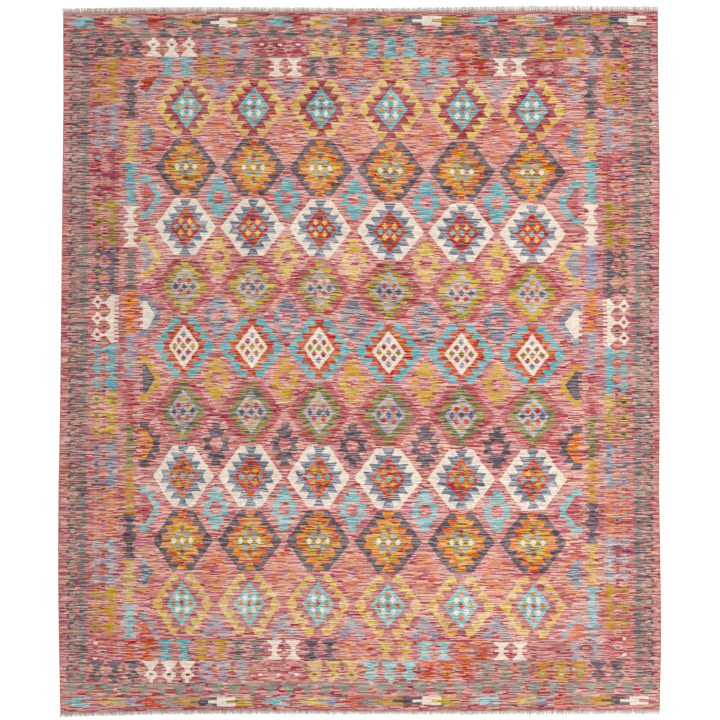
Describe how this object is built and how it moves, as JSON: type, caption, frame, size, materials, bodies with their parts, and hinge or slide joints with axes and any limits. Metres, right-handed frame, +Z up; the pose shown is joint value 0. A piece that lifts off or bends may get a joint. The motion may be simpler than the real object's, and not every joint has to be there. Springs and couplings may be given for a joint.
{
  "type": "kilim rug",
  "caption": "Flat rectangular flat-woven wool rug with slightly uneven edges and a short fringe of warp ends along both ends, lying open on the floor.",
  "frame": {"origin": "on the floor, under the middle of the rug's bounding box", "axes": "+X across the rug, along the weft; +Y along the rug, along the warp, towards the end with the longer fringe; +Z up, out of the cloth's upper face"},
  "size_m": [2.519, 2.9774, 0.0035],
  "materials": {
    "wool_cloth": "hand-woven dyed wool, matte, streaked pink ground with a many-coloured pattern",
    "warp_yarn": "undyed spun wool warp ends, matte"
  },
  "bodies": {
    "root": {"woven_cloth": "wool_cloth", "fringe_top": "warp_yarn", "fringe_bottom": "warp_yarn"}
  },
  "joints": []
}
